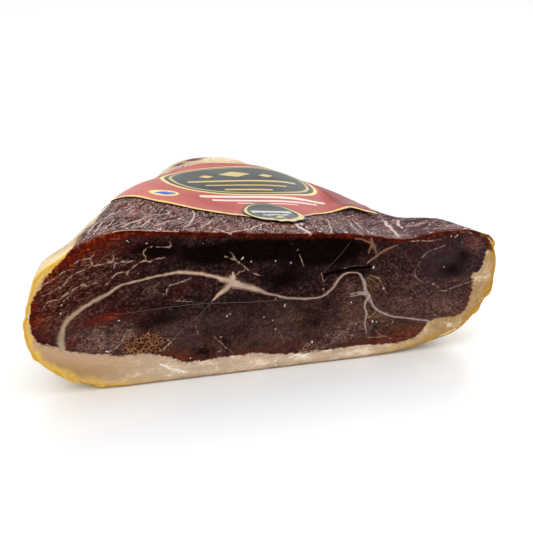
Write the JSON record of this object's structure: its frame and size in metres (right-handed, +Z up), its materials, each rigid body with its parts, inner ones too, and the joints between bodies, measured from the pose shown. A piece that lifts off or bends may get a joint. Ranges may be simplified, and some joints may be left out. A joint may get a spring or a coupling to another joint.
{
  "type": "half serrano ham",
  "caption": "Half of a boneless dry-cured ham in clear vacuum film, lying on its fat with the dark marbled cut face in front, tapering to the back, with a plain label over the top.",
  "frame": {"origin": "on the floor, under the middle of the part's box", "axes": "+X to the right along the cut face, +Y from the cut face to the small end, +Z up"},
  "size_m": [0.2825, 0.229, 0.0894],
  "materials": {
    "lean": "dark red-brown cured lean meat with pale marbling and seams of fat, slightly shiny under its film",
    "fat": "cream to golden cured fat and rind, smooth and waxy",
    "film": "clear, skin-tight, glossy vacuum film with fine creases",
    "label": "red printed film label with a dark panel and thin gold lines, satin",
    "sticker": "dark oval paper sticker with a gold ring, satin"
  },
  "bodies": {
    "root": {"lean_meat": "lean", "fat_layer": "fat", "vacuum_film": "film", "label": "label", "oval_sticker": "sticker"}
  },
  "joints": []
}
